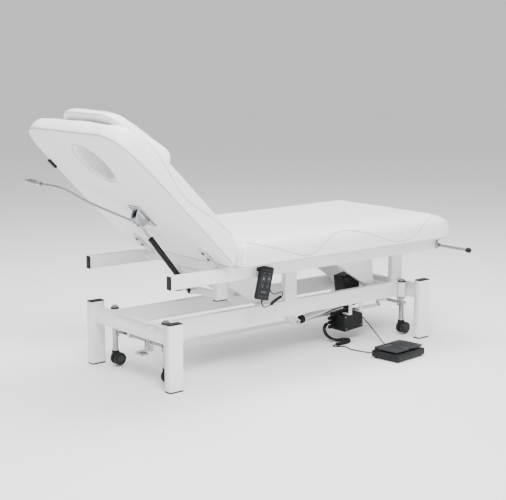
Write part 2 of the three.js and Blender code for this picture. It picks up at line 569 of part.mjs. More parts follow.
// Cross shafts with one arm per post and one crank for the link bar.
const LIFT = { tipX: -42, tipUp: 12.6, thick: 5 };
function casterShaft(x) {
  const at = { x, z: SHAFT.z };
  const rod = barY(at, [-158, 158], SHAFT.radius);
  const arms = mirrored((s) => plate([
    [x + 8, SHAFT.z - 8], [x + 8, SHAFT.z + 9],
    [x + LIFT.tipX, SHAFT.z + LIFT.tipUp + 6], [x + LIFT.tipX, SHAFT.z + LIFT.tipUp - 6],
  ], side(s, 148, 148 + LIFT.thick)));
  const crankLow = SHAFT.z - SHAFT.crank - 8;
  const crank = plate([[x - 9, SHAFT.z], [x + 9, SHAFT.z], [x + 8, crankLow], [x - 8, crankLow]], [8, 13]);
  const pin = barY({ x, z: SHAFT.z - SHAFT.crank }, [-3, 12], 4, 14);
  return join([rod, ...arms, crank, pin]);
}
const pedalPlate = join([
  box([SHAFT.headX - 60, SHAFT.headX - 5], [-30, -24], [SHAFT.z - 34, SHAFT.z - 24]),
  box([SHAFT.headX - 12, SHAFT.headX + 4], [-30, -24], [SHAFT.z - 34, SHAFT.z + 4]),
  box([SHAFT.headX - 64, SHAFT.headX - 34], [-50, -4], [SHAFT.z - 40, SHAFT.z - 32]),
]);
add('head_caster_shaft', join([casterShaft(SHAFT.headX), pedalPlate]), CHROME);
add('foot_caster_shaft', casterShaft(SHAFT.footX), CHROME);
const linkZ = [SHAFT.z - SHAFT.crank - 7, SHAFT.z - SHAFT.crank + 7];
const linkEnd = (x) => barY({ x, z: SHAFT.z - SHAFT.crank }, [1, 7.5], 9);
const linkHole = (x) => barY({ x, z: SHAFT.z - SHAFT.crank }, [-10, 20], 4 + GAP, 14);
add('caster_link_bar', cut(join([
  box([SHAFT.headX, SHAFT.footX], [1, 7.5], linkZ), linkEnd(SHAFT.headX), linkEnd(SHAFT.footX),
]), [linkHole(SHAFT.headX), linkHole(SHAFT.footX)]), WHITE_PAINT);

// ---------------------------------------------------------------- handset
const handSpot = new THREE.Group();
handSpot.position.set(HANDSET.x, HANDSET.y, HANDSET.z);
handSpot.rotation.y = -HANDSET.lean;
bed.add(handSpot);
const faceY = -HANDSET.thick / 2;
const handCase = pad(rounded([
  [-HANDSET.wide / 2, -HANDSET.tall / 2, 8], [HANDSET.wide / 2, -HANDSET.tall / 2, 8],
  [HANDSET.wide / 2, HANDSET.tall / 2, 8], [-HANDSET.wide / 2, HANDSET.tall / 2, 8],
]), [-HANDSET.thick / 2 + 6, HANDSET.thick / 2], 2, (geometry) => geometry.rotateX(Math.PI / 2));
const KEY = { spots: [-13, 13], z: [4, 30], half: 9 };
const wellZ = [KEY.z[0] - GAP, KEY.z[1] + GAP];
const keyWell = (x) => box([x - KEY.half - GAP, x + KEY.half + GAP], [faceY - 4, faceY + 4.5], wellZ);
const HOOK = { x: [-34, -12], z: [40, 62] };
const hookArm = box(HOOK.x, [HANDSET.thick / 2 - 8, HANDSET.thick / 2 + 4], HOOK.z);
add('handset_case', cut(join([handCase, hookArm]), KEY.spots.map(keyWell)), BLACK_PLASTIC, handSpot);
KEY.spots.forEach((x, i) => {
  const key = box([x - KEY.half, x + KEY.half], [faceY - 0.8, faceY + 2.5], KEY.z);
  add(['handset_key_up', 'handset_key_down'][i], key, GREY_PLASTIC, handSpot);
});

// ---------------------------------------------------------------- foot switch
const switchSpot = new THREE.Group();
switchSpot.position.set(SWITCH.x, SWITCH.y, 0);
switchSpot.rotation.z = SWITCH.turn;
bed.add(switchSpot);
const halfLong = SWITCH.long / 2;
const halfWide = SWITCH.wide / 2;
const switchTub = pad(rounded([
  [-halfLong, -halfWide, 6], [halfLong, -halfWide, 6], [halfLong, halfWide, 6], [-halfLong, halfWide, 6],
]), [6, 32], 2);
const PEDAL = { y: [-halfWide + 10, halfWide - 26], gap: 8, hingeY: halfWide - 32, hingeZ: 36 };
const switchFeet = [-1, 1].flatMap((a) => [-1, 1].map((b) => bar(
  [a * (halfLong - 14), b * (halfWide - 14), 0],
  [a * (halfLong - 14), b * (halfWide - 14), 8],
  7,
  16,
)));
const rearRidge = box([-halfLong + 8, halfLong - 8], [halfWide - 24, halfWide - 8], [30, 46]);
add('foot_switch_base', join([switchTub, rearRidge, ...switchFeet]), BLACK_PLASTIC, switchSpot);
const pedalX = [[-halfLong + 8, -PEDAL.gap / 2], [PEDAL.gap / 2, halfLong - 8]];
pedalX.forEach((x, i) => {
  add(['foot_pedal_up', 'foot_pedal_down'][i], join([
    box(x, [PEDAL.y[0], PEDAL.y[1] - 2], [38, 47]),
    bar([x[0], PEDAL.hingeY, PEDAL.hingeZ + 2.5], [x[1], PEDAL.hingeY, PEDAL.hingeZ + 2.5], 5),
  ]), GREY_PLASTIC, switchSpot);
});

// ---------------------------------------------------------------- cords
// A curled length is one fat tube of the coil's outer diameter. Thin leads meet it face to face.
const LEAD = 2.6;
const COIL = 7;
const cord = (name, points, radius, sides, steps) => add(
  name, solidOf(tube(points, radius, sides, steps)), BLACK_PLASTIC,
);
cord('handset_cord', [
  [413.5, -302, 297.3], [411.2, -302, 288], [417, -301, 275], [430, -297, 266], [443, -290, 264],
  [470, -275, 262], [489.5, -263.5, 262],
], LEAD, 8, 24);
cord('handset_cord_coil', [
  [490.2, -263.1, 262], [520, -243, 265], [548, -225, 266], [580, -204, 266], [606, -188, 265],
], COIL - 1, 10, 12);
cord('handset_cord_tail', [
  [606.6, -187.6, 265], [617, -181, 266], [622, -179, 274],
  [612, -185, 284], [580, -203, 287], [540, -226, 291],
  [507, -243, 308], [489, -252, 338], [CLIP.x, CLIP.y, UPPER.low - 26],
  [CLIP.x, CLIP.y, UPPER.low - 12 - 2 * GAP],
], LEAD, 8, 36);
cord('foot_switch_cord_coil', [
  [993.4, PLUG.y, 73.2], [980, PLUG.y, 68], [967, -50, 52], [970, -66, 26], [992, -88, 9.5], [1030, -106, 8],
  [1042, -122, 8], [1020, -142, 8], [976, -147, 8], [945, -142.6, 8],
], COIL, 10, 28);
cord('foot_switch_cord_tail', [
  [943.8, -142.4, 6.5], [930, -145, 3.4], [942, -160, 3], [963, -182, 3], [952, -232, 3], [960, -276, 3],
  [972, -320, 4], [960, -350, 14], [959.2, -367.8, 19],
], LEAD, 8, 40);
cord('foot_switch_cord', [
  [1138.4, -80, 92], [1152, -86, 88], [1156, -118, 66], [1146, -170, 40], [1122, -240, 14], [1100, -290, 5],
  [1084, -326, 10], [1078.2, -352.8, 22],
], LEAD, 8, 40);

export default bed;
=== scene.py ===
"""Facial treatment bed: the looks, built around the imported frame. Metres, +Z up, head end at -X."""
import json
import math

import bpy
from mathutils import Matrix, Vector, noise
from mathutils.bvhtree import BVHTree


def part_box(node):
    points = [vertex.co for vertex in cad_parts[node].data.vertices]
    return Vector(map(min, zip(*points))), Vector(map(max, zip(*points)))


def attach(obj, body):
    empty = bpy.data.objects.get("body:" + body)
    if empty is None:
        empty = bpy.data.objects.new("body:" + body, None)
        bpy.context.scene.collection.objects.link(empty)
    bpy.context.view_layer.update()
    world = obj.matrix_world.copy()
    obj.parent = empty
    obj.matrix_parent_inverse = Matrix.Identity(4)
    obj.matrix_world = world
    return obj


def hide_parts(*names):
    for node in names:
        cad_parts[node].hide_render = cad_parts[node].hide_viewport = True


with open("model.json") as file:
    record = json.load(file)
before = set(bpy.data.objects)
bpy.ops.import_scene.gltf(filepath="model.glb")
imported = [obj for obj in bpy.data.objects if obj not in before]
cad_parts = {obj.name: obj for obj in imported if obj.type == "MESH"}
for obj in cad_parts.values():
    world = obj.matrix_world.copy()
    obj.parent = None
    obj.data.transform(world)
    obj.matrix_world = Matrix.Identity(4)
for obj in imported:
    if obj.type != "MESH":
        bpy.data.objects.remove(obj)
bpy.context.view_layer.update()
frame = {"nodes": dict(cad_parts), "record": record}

# ---------------------------------------------------------------- places
MM = 0.001
HEAD_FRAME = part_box("base_head_frame")
HEAD_X = HEAD_FRAME[0][0]
MIDDLE_Y = (HEAD_FRAME[0][1] + HEAD_FRAME[1][1]) / 2
JOINT = {joint["name"]: joint for joint in frame["record"]["behaviour"]["joints"]}


def at(x, y, z):
    """Millimetres from the head legs' outer face, the middle plane and the floor."""
    return Vector((HEAD_X + x * MM, MIDDLE_Y + y * MM, z * MM))


HINGE = Vector(JOINT["recline"]["pos_m"])
HINGE.y = MIDDLE_Y
UP_BACK = Vector((-1, 0, 1)).normalized()
OUT_BACK = Vector((1, 0, 1)).normalized()
UNDERSIDE = 21.5          # the backrest's underside, above its hinge line
BACK_THICK = 98
STRAP_THICK = 4.9


def on_back(along, across, height):
    """Millimetres up the back from the hinge, across it, and out from the hinge line."""
    return HINGE + (UP_BACK * along + OUT_BACK * height) * MM + Vector((0, across * MM, 0))


# ---------------------------------------------------------------- camera and light
VIEW = {"azimuth": math.radians(-39.27), "elevation": math.radians(9.89), "distance": 4.969, "lens": 87.2}
TARGET = at(616.5, 0, 425.9)


def add_camera():
    level = math.cos(VIEW["elevation"])
    back = Vector((
        math.sin(VIEW["azimuth"]) * level,
        -math.cos(VIEW["azimuth"]) * level,
        math.sin(VIEW["elevation"]),
    ))
    data = bpy.data.cameras.new("camera")
    data.lens = VIEW["lens"]
    data.sensor_width = 36
    camera = bpy.data.objects.new("camera", data)
    camera.location = TARGET + back * VIEW["distance"]
    camera.rotation_mode = "QUATERNION"
    camera.rotation_quaternion = (-back).to_track_quat("-Z", "Y")
    bpy.context.collection.objects.link(camera)
    bpy.context.scene.camera = camera


def add_light(name, place, size, power):
    data = bpy.data.lights.new(name, "AREA")
    data.shape = "RECTANGLE"
    data.size, data.size_y = size
    data.energy = power
    light = bpy.data.objects.new(name, data)
    light.location = place
    light.rotation_mode = "QUATERNION"
    light.rotation_quaternion = (TARGET - Vector(place)).to_track_quat("-Z", "Y")
    bpy.context.collection.objects.link(light)


def add_studio():
    world = bpy.data.worlds.new("studio")
    world.use_nodes = True
    background = world.node_tree.nodes["Background"]
    background.inputs["Color"].default_value = (1.0, 1.0, 1.0, 1)
    background.inputs["Strength"].default_value = 0.85
    bpy.context.scene.world = world
    add_light("key", (-1.6, -2.4, 3.6), (1.8, 1.8), 300)
    add_light("fill", (3.0, -2.2, 2.0), (2.4, 2.4), 20)
    add_light("top", (0.3, 0.6, 3.8), (3.0, 2.0), 230)


# ---------------------------------------------------------------- materials
def node(tree, kind, **values):
    made = tree.nodes.new(kind)
    for key, value in values.items():
        made.inputs[key.replace("_", " ")].default_value = value
    return made


def finish_material(name, color, roughness, metallic=0.0, grain=900.0, bump=0.05, spread=0.03,
                    cells=False, coat=0.0, sheen=0.0, wear=0.08, gloss=0.5):
    """A surface with colour and roughness variation, a fine grain and a slow unevenness."""
    material = bpy.data.materials.new(name)
    material.use_nodes = True
    tree = material.node_tree
    surface = tree.nodes["Principled BSDF"]
    surface.inputs["Metallic"].default_value = metallic
    surface.inputs["Coat Weight"].default_value = coat
    surface.inputs["Sheen Weight"].default_value = sheen
    surface.inputs["Specular IOR Level"].default_value = gloss
    place = tree.nodes.new("ShaderNodeTexCoord")
    patches = node(tree, "ShaderNodeTexNoise", Scale=14.0, Detail=4.0, Roughness=0.6)
    tree.links.new(place.outputs["Object"], patches.inputs["Vector"])
    tint = tree.nodes.new("ShaderNodeValToRGB")
    tint.color_ramp.elements[0].position = 0.3
    tint.color_ramp.elements[1].position = 0.7
    tint.color_ramp.elements[0].color = (*[c * (1 - spread) for c in color], 1)
    tint.color_ramp.elements[1].color = (*[min(1, c * (1 + spread)) for c in color], 1)
    tree.links.new(patches.outputs["Fac"], tint.inputs["Fac"])
    tree.links.new(tint.outputs["Color"], surface.inputs["Base Color"])
    shine = node(tree, "ShaderNodeMapRange", To_Min=roughness - wear / 2, To_Max=roughness + wear / 2)
    tree.links.new(patches.outputs["Fac"], shine.inputs["Value"])
    tree.links.new(shine.outputs["Result"], surface.inputs["Roughness"])
    if cells:
        fine = node(tree, "ShaderNodeTexVoronoi", Scale=grain)
        height = fine.outputs["Distance"]
    else:
        fine = node(tree, "ShaderNodeTexNoise", Scale=grain, Detail=3.0)
        height = fine.outputs["Fac"]
    tree.links.new(place.outputs["Object"], fine.inputs["Vector"])
    relief = node(tree, "ShaderNodeBump", Strength=bump, Distance=0.001)
    tree.links.new(height, relief.inputs["Height"])
    tree.links.new(relief.outputs["Normal"], surface.inputs["Normal"])
    return material


VINYL = finish_material("vinyl", (0.86, 0.85, 0.845), 0.42, grain=850, bump=0.16, spread=0.012,
                        cells=True, coat=0.08)
# The vinyl again, darker, for the boards under the pads: painted shade of their undersides.
SHADED_UNDER_VINYL = finish_material("shaded_under_vinyl", (0.74, 0.73, 0.725), 0.5, grain=850, bump=0.16, spread=0.02,
                              cells=True)
# The vinyl darkened to mid grey for seams and piping: the ridges are real, their grey is painted shade of the
# creases beside them.
CREASE_SHADE = finish_material("seam_crease_shade", (0.46, 0.455, 0.45), 0.55, grain=1800, bump=0.2, spread=0.05)
THREAD = finish_material("thread", (0.8, 0.795, 0.79), 0.7, grain=5200, bump=0.5, spread=0.06, sheen=0.2)
PAINT = finish_material("powder_coat", (0.85, 0.85, 0.84), 0.32, grain=1500, bump=0.06, spread=0.015,
                        coat=0.15)
CHROME = finish_material("chrome", (0.36, 0.37, 0.39), 0.17, metallic=1.0, grain=2600, bump=0.02,
                         spread=0.03, wear=0.1)
SILVER = finish_material("silver_tube", (0.62, 0.63, 0.64), 0.3, metallic=1.0, grain=2600, bump=0.04,
                         spread=0.04)
BLACK = finish_material("black_plastic", (0.008, 0.009, 0.01), 0.5, grain=2800, bump=0.12, spread=0.12,
                        gloss=0.22)
GREY = finish_material("grey_plastic", (0.022, 0.024, 0.027), 0.5, grain=2400, bump=0.14, spread=0.1,
                       gloss=0.3)
MARK = finish_material("mark_ink", (0.13, 0.135, 0.14), 0.5, grain=2400, bump=0.03, spread=0.04)
RUBBER = finish_material("wheel_rubber", (0.01, 0.01, 0.01), 0.68, grain=1600, bump=0.2, spread=0.15,
                         gloss=0.25)
JACKET = finish_material("cord_jacket", (0.008, 0.008, 0.009), 0.5, grain=2600, bump=0.08, spread=0.1,
                         gloss=0.25)
BRONZE = finish_material("dark_bolt", (0.07, 0.055, 0.045), 0.4, metallic=0.8, grain=2600, bump=0.08,
                         spread=0.1)
CREAM = finish_material("cream_plate", (0.66, 0.63, 0.57), 0.4, grain=1500, bump=0.06, spread=0.03)
ZINC = finish_material("zinc_bolt", (0.5, 0.5, 0.5), 0.35, metallic=1.0, grain=2600, bump=0.08, spread=0.08)


# ---------------------------------------------------------------- shapes: each gives (points, faces)
def tube(points, radius, sides=10):
    """A round tube along points, closed at both ends. radius may be one number or one per point."""
    points = [Vector(p) for p in points]
    count = len(points)
    radii = radius if isinstance(radius, list) else [radius] * count
    ways = [(points[min(i + 1, count - 1)] - points[max(i - 1, 0)]).normalized() for i in range(count)]
    normal = ways[0].orthogonal().normalized()
    verts, faces = [], []
    for i, (point, way) in enumerate(zip(points, ways)):
        if i:
            turn = ways[i - 1].rotation_difference(way)
            normal = (turn @ normal).normalized()
        side = way.cross(normal)
        for k in range(sides):
            angle = 2 * math.pi * k / sides
            verts.append(point + (normal * math.cos(angle) + side * math.sin(angle)) * radii[i])
    for i in range(count - 1):
        for k in range(sides):
            a, b = i * sides + k, i * sides + (k + 1) % sides
            faces.append((a, b, b + sides, a + sides))
    faces.append(tuple(reversed(range(sides))))
    faces.append(tuple(range((count - 1) * sides, count * sides)))
    return verts, faces


def lathe(start, way, profile, sides=28):
    """Turned shape: profile is [(radius, distance along way)], in millimetres."""
    start, way = Vector(start), Vector(way).normalized()
    points = [start + way * (along * MM) for _, along in profile]
    normal = way.orthogonal().normalized()
    across = way.cross(normal)
    verts, faces = [], []
    for (radius, _), point in zip(profile, points):
        for k in range(sides):
            angle = 2 * math.pi * k / sides
            verts.append(point + (normal * math.cos(angle) + across * math.sin(angle)) * radius * MM)
    for i in range(len(profile) - 1):
        for k in range(sides):
            a, b = i * sides + k, i * sides + (k + 1) % sides
            faces.append((a, b, b + sides, a + sides))
    faces.append(tuple(reversed(range(sides))))
    faces.append(tuple(range((len(profile) - 1) * sides, len(profile) * sides)))
    return verts, faces


def capped(first, size, turned):
    """Closes a flat ring of an even number of points with a ladder of quads, which subdivides evenly."""
    faces = [(first, first + 1, first + size - 1)]
    half = size // 2
    for k in range(1, half - 1):
        faces.append((first + k, first + k + 1, first + size - k - 1, first + size - k))
    faces.append((first + half - 1, first + half, first + half + 1))
    return [tuple(reversed(face)) for face in faces] if turned else faces


def stack(rings, closed=False):
    """Rings of equal length joined in order; capped at both ends, or joined round if closed."""
    size = len(rings[0])
    verts = [point for ring in rings for point in ring]
    faces = []
    last = len(rings) if closed else len(rings) - 1
    for i in range(last):
        j = (i + 1) % len(rings)
        for k in range(size):
            m = (k + 1) % size
            faces.append((i * size + k, i * size + m, j * size + m, j * size + k))
    if not closed and size > 40:
        faces += capped(0, size, True) + capped((len(rings) - 1) * size, size, False)
    elif not closed:
        faces.append(tuple(reversed(range(size))))
        faces.append(tuple(range((len(rings) - 1) * size, len(rings) * size)))
    return verts, faces


def slab(low, high, radius, edge=1.0, to_world=at, steps=4):
    """A block with rounded upright corners and eased rims. Millimetres, placed by to_world."""
    rings = []
    for z, inset in ((low[2], edge), (low[2] + edge, 0), (high[2] - edge, 0), (high[2], edge)):
        ring = []
        corners = ((high[0], high[1], 0), (low[0], high[1], 90), (low[0], low[1], 180),
                   (high[0], low[1], 270))
        for x, y, begin in corners:
            cx = x + (-radius if x == high[0] else radius)
            cy = y + (-radius if y == high[1] else radius)
            for k in range(steps + 1):
                angle = math.radians(begin + 90 * k / steps)
                reach = radius - inset
                ring.append(to_world(cx + reach * math.cos(angle), cy + reach * math.sin(angle), z))
        rings.append(ring)
    return stack(rings)


def piece(name, parts, material, body, smooth=True, stands_for=()):
    """One mesh object made from shapes, riding on a CAD body."""
    verts, faces = [], []
    for points, polygons in parts:
        shift = len(verts)
        verts += points
        faces += [tuple(index + shift for index in polygon) for polygon in polygons]
    mesh = bpy.data.meshes.new(name)
    mesh.from_pydata([tuple(v) for v in verts], [], faces)
    mesh.validate()
    mesh.materials.append(material)
    made = bpy.data.objects.new(name, mesh)
    bpy.context.collection.objects.link(made)
    outward(made)
    if smooth:
        mesh.polygons.foreach_set("use_smooth", [True] * len(mesh.polygons))
        mesh.set_sharp_from_angle(angle=math.radians(38))
    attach(made, body)
    if stands_for:
        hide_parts(*stands_for)
    return made


def outward(thing):
    """Turns every closed shell's faces out."""
    import bmesh
    shell = bmesh.new()
    shell.from_mesh(thing.data)
    bmesh.ops.recalc_face_normals(shell, faces=shell.faces)
    shell.to_mesh(thing.data)
    shell.free()


def spline(points, count):
    """Smooth curve through points (Catmull-Rom), as count + 1 points."""
    points = [Vector(p) for p in points]
    padded = [points[0] * 2 - points[1], *points, points[-1] * 2 - points[-2]]
    out = []
    spans = len(points) - 1
    for i in range(count + 1):
        where = min(i * spans / count, spans - 1e-9)
        k, t = int(where), where - int(where)
        a, b, c, d = padded[k:k + 4]
        out.append(0.5 * (2 * b + (c - a) * t + (2 * a - 5 * b + 4 * c - d) * t * t
                          + (3 * b - a - 3 * c + d) * t ** 3))
    return out


def length_of(points):
    return sum((b - a).length for a, b in zip(points, points[1:]))


# ---------------------------------------------------------------- cords
def cord_piece(name, points, radius, body, stands_for):
    data = bpy.data.curves.new(name, "CURVE")
    data.dimensions = "3D"
    data.bevel_depth = radius
    data.bevel_resolution = 3
    data.use_fill_caps = True
    line = data.splines.new("POLY")
    line.points.add(len(points) - 1)
    for spot, point in zip(line.points, points):
        spot.co = (*point, 1)
    data.materials.append(JACKET)
    made = bpy.data.objects.new(name, data)
    bpy.context.collection.objects.link(made)
    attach(made, body)
    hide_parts(*stands_for)
    return made


def curl(route, coil_radius, pitch, per_turn=14, ease=1.5):
    """Helix of a curly cord round a route, easing in from the centre line and out to it."""
    total = length_of(route)
    turns = total / pitch
    count = int(turns * per_turn)
    run = [0.0]
    for a, b in zip(route, route[1:]):
        run.append(run[-1] + (b - a).length)
    normal = None
    out = []
    seg = 0
    previous = None
    for i in range(count + 1):
        distance = total * i / count
        while seg < len(route) - 2 and run[seg + 1] < distance:
            seg += 1
        t = (distance - run[seg]) / (run[seg + 1] - run[seg])
        centre = route[seg].lerp(route[seg + 1], t)
        way = (route[seg + 1] - route[seg]).normalized()
        if normal is None:
            normal = way.orthogonal().normalized()
        else:
            normal = (previous.rotation_difference(way) @ normal).normalized()
        previous = way
        normal = (normal - way * normal.dot(way)).normalized()
        side = way.cross(normal)
        angle = 2 * math.pi * turns * i / count
        grow = min(1.0, distance / (ease * pitch), (total - distance) / (ease * pitch))
        out.append(centre + (normal * math.cos(angle) + side * math.sin(angle)) * coil_radius * grow)
    return out


LEAD = 2.2 * MM
HANDSET_LEAD = [(413.5, -302, 297.3), (411.2, -302, 288), (417, -301, 275), (430, -297, 266),
                (443, -290, 264),
                (470, -275, 262), (489.5, -263.5, 262)]
HANDSET_COIL = [(490.2, -263.1, 262), (520, -243, 265), (548, -225, 266), (580, -204, 266), (606, -188, 265)]
HANDSET_TAIL = [(606.6, -187.6, 265), (617, -181, 266), (622, -179, 274), (612, -185, 284), (580, -203, 287),
                (540, -226, 291), (507, -243, 308), (489, -252, 338), (486, -254, 357), (486, -254, 370.4)]
SWITCH_COIL = [(993.4, -45, 73.2), (980, -45, 68), (967, -50, 52), (970, -66, 26), (992, -88, 9.5),
               (1030, -106, 8),
               (1042, -122, 8), (1020, -142, 8), (976, -147, 8), (945, -142.6, 8)]
SWITCH_TAIL = [(943.8, -142.4, 6.5), (930, -145, 3.4), (942, -160, 3), (963, -182, 3), (952, -232, 3),
               (960, -276, 3), (972, -320, 4), (960, -350, 14), (959.2, -367.8, 19)]
SWITCH_CORD = [(1138.4, -80, 92), (1152, -86, 88), (1156, -118, 66), (1146, -170, 40), (1122, -240, 14),
               (1100, -290, 5), (1084, -326, 10), (1078.2, -352.8, 22)]


def route(points, count):
    return spline([at(*p) for p in points], count)


def add_cords():
    handset = route(HANDSET_LEAD, 24)
    handset += curl(route(HANDSET_COIL, 30), 4.3 * MM, 5.2 * MM)
    handset += route(HANDSET_TAIL, 40)
    cord_piece("handset_lead", handset, LEAD, "upper_frame",
               ("handset_cord", "handset_cord_coil", "handset_cord_tail"))
    switch = curl(route(SWITCH_COIL, 60), 5.5 * MM, 5.2 * MM)
    switch += route(SWITCH_TAIL, 48)
    cord_piece("switch_curly_lead", switch, LEAD, "base",
               ("foot_switch_cord_coil", "foot_switch_cord_tail"))
    cord_piece("switch_plain_lead", route(SWITCH_CORD, 40), 2.4 * MM, "base", ("foot_switch_cord",))


# ---------------------------------------------------------------- cushions
def rounded(corners, count):
    """Outline with rounded corners, [(x, y, radius)], as count evenly spaced points."""
    dense = []
    total = len(corners)
    for i, (x, y, radius) in enumerate(corners):
        here = Vector((x, y))
        before = Vector(corners[i - 1][:2])
        after = Vector(corners[(i + 1) % total][:2])
        enter = here + (before - here).normalized() * radius
        leave = here + (after - here).normalized() * radius
        for k in range(13):
            t = k / 12
            dense.append(enter * (1 - t) ** 2 + here * 2 * t * (1 - t) + leave * t * t)
    dense.append(dense[0])
    run = [0.0]
    for a, b in zip(dense, dense[1:]):
        run.append(run[-1] + (b - a).length)
    out, seg = [], 0
    for i in range(count):
        distance = run[-1] * i / count
        while run[seg + 1] < distance:
            seg += 1
        t = (distance - run[seg]) / max(run[seg + 1] - run[seg], 1e-9)
        out.append(dense[seg].lerp(dense[seg + 1], t))
    return out


def drawn_in(outline, distance, spine):
    """The outline moved inwards, towards a rectangle (low x, high x, half width)."""
    out = []
    for point in outline:
        target = Vector((min(max(point.x, spine[0]), spine[1]), min(max(point.y, -spine[2]), spine[2])))
        way = target - point
        out.append(point + way * min(1.0, distance / way.length))
    return out


def swell(cushion, firm, limit):
    """Puffs a cushion with Cloth pressure, holding the vertices in firm and capping each move."""
    group = cushion.vertex_groups.new(name="held")
    group.add(firm, 1.0, "REPLACE")
    rest = [v.co.copy() for v in cushion.data.vertices]
    cloth = cushion.modifiers.new("cloth", "CLOTH")
    settings = cloth.settings
    settings.quality = 6
    settings.use_pressure = True
    settings.uniform_pressure_force = 4
    settings.tension_stiffness = 25
    settings.compression_stiffness = 25
    settings.bending_stiffness = 2
    settings.vertex_group_mass = "held"
    settings.effector_weights.gravity = 0
    scene = bpy.context.scene
    for number in range(1, 21):
        scene.frame_set(number)
    seen = cushion.evaluated_get(bpy.context.evaluated_depsgraph_get())
    moved = [v.co.copy() for v in seen.data.vertices]
    cushion.modifiers.remove(cloth)
    scene.frame_set(1)
    for vertex, old, new in zip(cushion.data.vertices, rest, moved):
        step = new - old
        if step.length > limit:
            step = step.normalized() * limit
        vertex.co = old + step
    cushion.vertex_groups.remove(group)


def shade_smooth(thing):
    thing.data.polygons.foreach_set("use_smooth", [True] * len(thing.data.polygons))


def subdivide_once(cushion):
    cushion.modifiers.new("smooth", "SUBSURF").levels = 1
    cushion.modifiers["smooth"].render_levels = 1


def uneven(cushion, size, depth):
    """Slow dents, as foam under a cover has."""
    for vertex in cushion.data.vertices:
        vertex.co += vertex.normal * noise.noise(vertex.co * size) * depth


SEAT = {"head": 283, "foot": 1466, "half": 349, "low": 433.6, "count": 220}
SEAT_SIDE = [(60, 0), (14, 0), (4, 0.8), (0.5, 5), (-1.5, 18), (-2.5, 38), (-1, 56), (4, 70), (12, 82),
             (24, 90.5),
             (42, 95.5), (66, 97.5)]


def seat_outline():
    return rounded([
        (SEAT["head"], -SEAT["half"], 26), (SEAT["foot"], -SEAT["half"], 100),
        (SEAT["foot"], SEAT["half"], 100), (SEAT["head"], SEAT["half"], 26),
    ], SEAT["count"])


def make_seat():
    outline = seat_outline()
    spine = (SEAT["head"] + 150, SEAT["foot"] - 150, SEAT["half"] - 150)
    rings = []
    centre = Vector(((SEAT["head"] + SEAT["foot"]) / 2, 0))

    def nose(point, height):
        """The foot end is rounder than the sides."""
        reach = max(0.0, (point.x - (SEAT["foot"] - 130)) / 130)
        return height - 30 * reach ** 2 * (height / 98) ** 1.6

    inner = drawn_in(outline, 145, spine)
    for share in (0.05, 0.5):
        rings.append([at(*centre.lerp(p, share), SEAT["low"]) for p in inner])
    for distance, height in SEAT_SIDE:
        ring = drawn_in(outline, distance, spine)
        rings.append([at(p.x, p.y, SEAT["low"] + nose(p, height)) for p in ring])
    edge = drawn_in(outline, SEAT_SIDE[-1][0], spine)
    for share in (0.3, 0.65, 1.0):
        rings.append([at(*a.lerp(b, share), SEAT["low"] + 97.5 + 2 * share) for a, b in zip(edge, inner)])
    for share in (0.8, 0.6, 0.4, 0.2, 0.04):
        rings.append([at(*centre.lerp(p, share), SEAT["low"] + 99.5 + 2.5 * (1 - share)) for p in inner])
    seat = piece("seat_pad", [stack(rings)], VINYL, "upper_frame",
                 stands_for=("seat_cushion", "seat_board"))
    shade_smooth(seat)
    held = 4 * SEAT["count"]
    swell(seat, list(range(held)), 7 * MM)
    uneven(seat, 9.0, 1.2 * MM)
    subdivide_once(seat)
    return seat


BACK = {"low": 20, "lean": 78, "high": 735, "half": 349, "count": 200, "hole_at": 563, "hole": (90, 76)}
BACK_SIDE = [(14, 0), (4, 0.8), (0, 6), (-2, 20), (-2, 38), (1, 54), (8, 70), (20, 83), (36, 92), (56, 96.5)]


def leaned(point, height):
    """The hinge end leans back as it rises, so that it clears the seat."""
    fade = max(0.0, 1 - (point.x - BACK["low"]) / 280)
    return point.x + BACK["lean"] * height / BACK_THICK * fade


def head_round(point, height):
    """The head end's upper edge is more rounded than the sides."""
    reach = max(0.0, (point.x - (BACK["high"] - 150)) / 150)
    return height - 16 * reach ** 2 * (height / BACK_THICK) ** 2


def back_spot(point, height):
    return on_back(leaned(point, height), point.y, UNDERSIDE + head_round(point, height))


def hole_ring(outline, grow):
    """The face hole's rim, with one point for each point of the outline."""
    out = []
    a, b = BACK["hole"][0] + grow, BACK["hole"][1] + grow
    for point in outline:
        angle = math.atan2(point.y, point.x - BACK["hole_at"])
        out.append(Vector((BACK["hole_at"] + a * math.cos(angle), b * math.sin(angle))))
    return out


def back_outline():
    high, half = BACK["high"], BACK["half"]
    return rounded([
        (BACK["low"], -half, 26), (high - 190, -half, 80), (high, -half + 34, 105),
        (high, half - 34, 105), (high - 190, half, 80), (BACK["low"], half, 26),
    ], BACK["count"])


